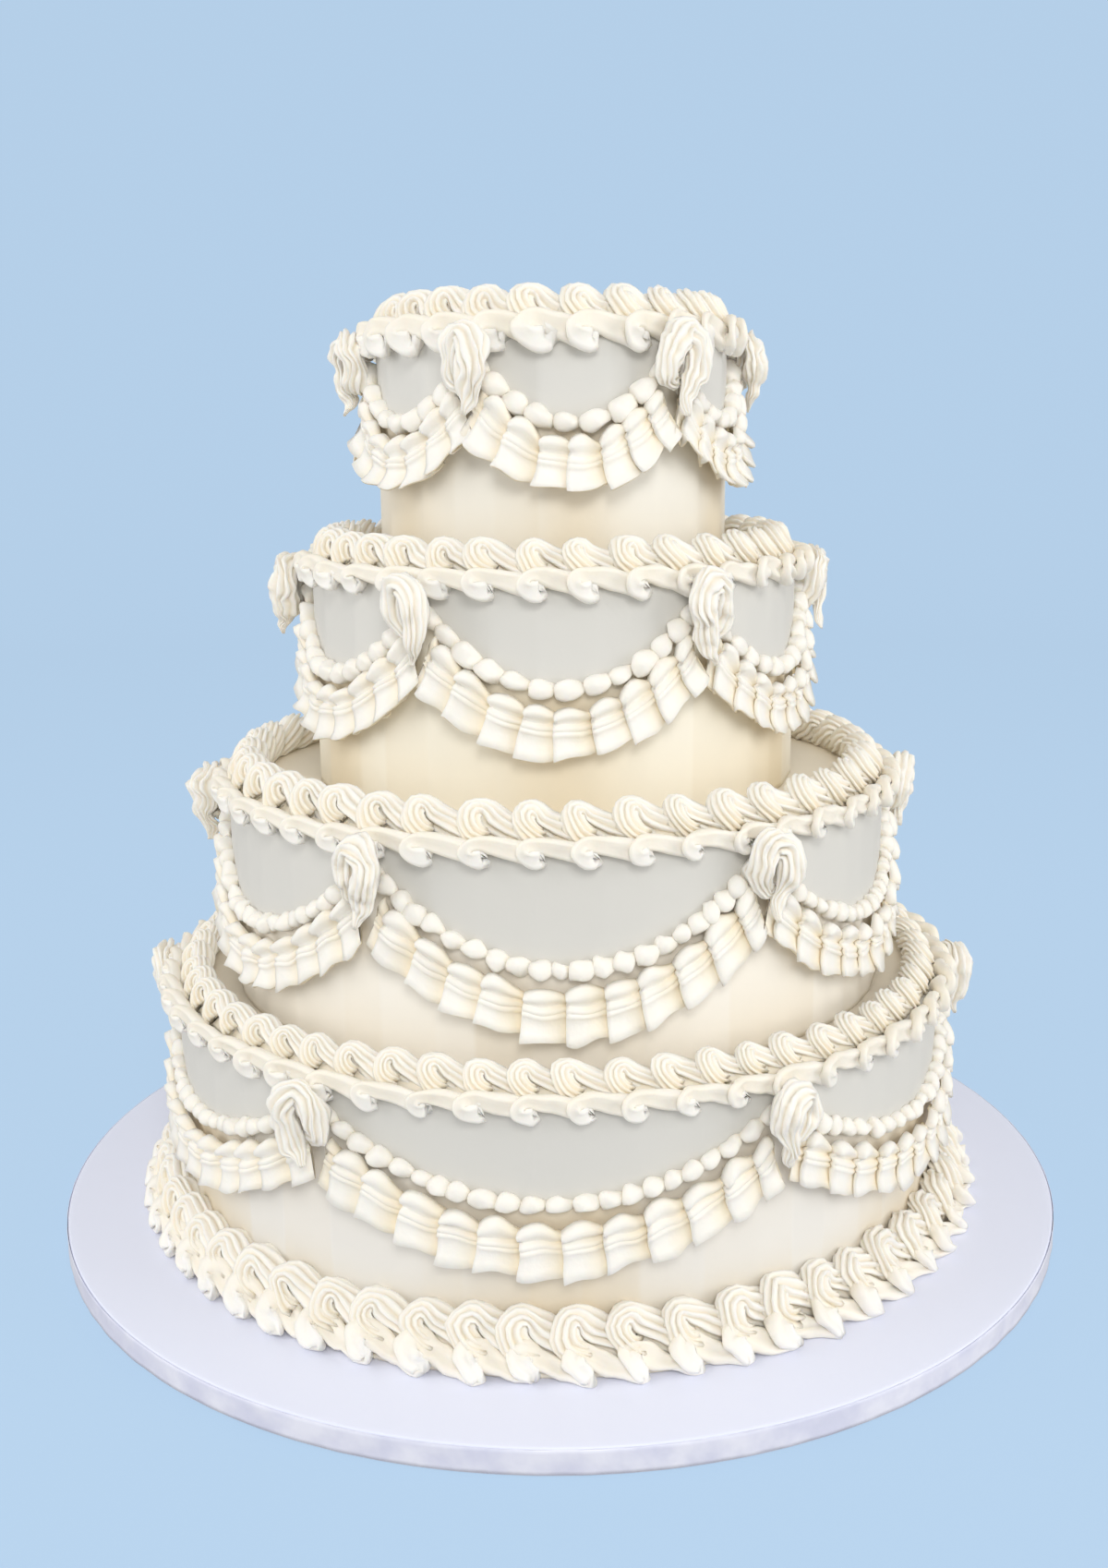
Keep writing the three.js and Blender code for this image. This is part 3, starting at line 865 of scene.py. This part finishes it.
def icing_material():
    """Piped buttercream, a little translucent."""
    material, nodes, links, shader = new_material("Piped_icing", roughness=0.5)
    # The second colour is painted warm shade, for grooves, folds and hollows.
    colour_by_warmth(nodes, links, shader, PAINT["icing_cool"], PAINT["icing_shade"])
    shader.inputs["Subsurface Weight"].default_value = 0.15
    shader.inputs["Subsurface Radius"].default_value = (1.0, 0.75, 0.5)
    shader.inputs["Subsurface Scale"].default_value = 0.0012
    shader.inputs["Specular IOR Level"].default_value = 0.35
    noise_bump(nodes, links, shader, scale=300, strength=0.4, distance=0.0006, detail=5.0)
    return material


def wall_material(below_swags):
    """Scraped buttercream: the window colour, a tier's own colour below the swags, and painted golden
    shade.
    """
    material, nodes, links, shader = new_material("Wall_icing", roughness=0.6)
    colour_by_warmth(nodes, links, shader, PAINT["window"], below_swags, PAINT["golden_shade"])
    shader.inputs["Specular IOR Level"].default_value = 0.25
    noise_bump(nodes, links, shader, scale=90, strength=0.35, distance=0.0008)
    return material


def board_material():
    """The board's pale cover."""
    material, nodes, links, shader = new_material("Board_cover", roughness=0.42)
    shader.inputs["Base Color"].default_value = srgb(*PAINT["board"])
    noise_bump(nodes, links, shader, scale=700, strength=0.12, distance=0.0003)
    return material


def ribbon_material():
    """Satin with painted sheen and shade that follow its creases."""
    material, nodes, links, shader = new_material("Ribbon_satin", roughness=0.3)
    shader.inputs["Anisotropic"].default_value = 0.5
    noise = noise_bump(nodes, links, shader, scale=60, strength=0.5, distance=0.002)
    # Painted sheen where the crease noise is high, painted shade where it is low.
    sheen = nodes.new("ShaderNodeValToRGB")
    dull, bright = sheen.color_ramp.elements
    dull.position, dull.color = 0.36, srgb(*PAINT["ribbon_crease_shade"])
    bright.position, bright.color = 0.66, srgb(*PAINT["ribbon_crease_sheen"])
    links.new(noise.outputs["Fac"], sheen.inputs["Fac"])
    links.new(sheen.outputs["Color"], shader.inputs["Base Color"])
    return material


def floor_material():
    """Paint that glows of itself, so that the floor comes out even and pale."""
    material, _, _, shader = new_material("Floor_paint", roughness=0.9)
    paint = np.array(srgb(*PAINT["backdrop"]))[:3]
    shader.inputs["Base Color"].default_value = (*(paint * FLOOR_PAINT["base"]), 1.0)
    shader.inputs["Emission Color"].default_value = (*paint, 1.0)
    shader.inputs["Emission Strength"].default_value = FLOOR_PAINT["glow"]
    shader.inputs["Specular IOR Level"].default_value = 0.0
    return material


# ------------------------------------------------------------------ stage, light and camera


def stage_floor():
    """Pale floor that curves up into a backdrop all round."""
    azimuth = full_turn(FLOOR["steps"])
    curve, flat = FLOOR["curve"], FLOOR["radius"] - FLOOR["curve"]
    corner = np.linspace(0, TURN / 4, FLOOR["corners"])[1:]
    profile = [(FLOOR["hole"], 0.0), (flat, 0.0)]
    profile += [(flat + curve * math.sin(a), curve - curve * math.cos(a)) for a in corner]
    profile.append((FLOOR["radius"], FLOOR["height"]))
    grid = np.stack([around(across, azimuth, level) for across, level in profile]) / METRE
    rows, columns = grid.shape[:2]
    index = np.arange(rows * columns).reshape(rows, columns)
    quads = np.stack(
        [index[:-1], np.roll(index[:-1], -1, 1), np.roll(index[1:], -1, 1), index[1:]], -1
    )
    mesh = bpy.data.meshes.new("Floor")
    mesh.from_pydata(grid.reshape(-1, 3).tolist(), [], quads.reshape(-1, 4).tolist())
    mesh.shade_smooth()
    mesh.materials.append(floor_material())
    made = bpy.data.objects.new("Floor", mesh)
    made.visible_diffuse = False
    made.visible_glossy = False
    made.visible_shadow = False
    bpy.context.scene.collection.objects.link(made)


def area_light(name, place, size, watts, colour):
    """Round soft light that faces the cake."""
    light = bpy.data.lights.new(name, "AREA")
    light.shape = "DISK"
    light.size = size
    light.energy = watts
    light.color = colour
    made = bpy.data.objects.new(name, light)
    made.location = place
    towards = Vector(LIGHT_TARGET) - Vector(place)
    made.rotation_euler = towards.to_track_quat("-Z", "Y").to_euler()
    bpy.context.scene.collection.objects.link(made)


def lights():
    """Even light from all round, and the soft lights."""
    world = bpy.data.worlds.new("Studio")
    world.use_nodes = True
    background = world.node_tree.nodes["Background"]
    background.inputs["Color"].default_value = WORLD["colour"]
    background.inputs["Strength"].default_value = WORLD["strength"]
    bpy.context.scene.world = world
    for light in LIGHTS:
        area_light(**light)


def camera():
    """Camera at the viewpoint."""
    yaw, pitch, roll = (math.radians(VIEWPOINT[key]) for key in ("yaw", "pitch", "roll"))
    ahead = Vector((math.sin(yaw) * math.cos(pitch), math.cos(yaw) * math.cos(pitch), -math.sin(pitch)))
    level_right = Vector((math.cos(yaw), -math.sin(yaw), 0))
    level_up = level_right.cross(ahead)
    right = math.cos(roll) * level_right + math.sin(roll) * level_up
    up = math.cos(roll) * level_up - math.sin(roll) * level_right
    data = bpy.data.cameras.new("Camera")
    data.sensor_width = SENSOR
    data.lens = VIEWPOINT["focal"] * SENSOR
    made = bpy.data.objects.new("Camera", data)
    axes = Matrix((right, up, -ahead)).transposed().to_4x4()
    made.matrix_world = Matrix.Translation(Vector(VIEWPOINT["place"]) / METRE) @ axes
    bpy.context.scene.collection.objects.link(made)
    bpy.context.scene.camera = made


# ------------------------------------------------------------------ the cake


def build_cake():
    """The board, then each tier with its icing, then the borders on the board."""
    piping = icing_material()
    board(board_material())
    ribbon(ribbon_material())
    for number, tier in enumerate(TIERS, start=1):
        low, high = box_mm(f"tier_{number}")
        radius, top = high[0], high[2]
        tier_wall(number, tier, radius, low[2], top)
        rim_rope(number, tier, radius, top, piping)
        rim_scroll(number, tier, radius, top, piping)
        pearl_swags(number, tier, radius, top, piping)
        ruffle_swags(number, tier, radius, top, piping)
        for place in range(SWAGS):
            drop(number, place, tier, radius, top, piping)
    foot_radius = box_mm("tier_1")[1][0]
    board_top = box_mm("cake_board")[1][2]
    base_rope(foot_radius, board_top, piping)
    base_curls(foot_radius, board_top, piping)


build_cake()
stage_floor()
lights()
camera()
bpy.context.scene.view_settings.view_transform = "Standard"
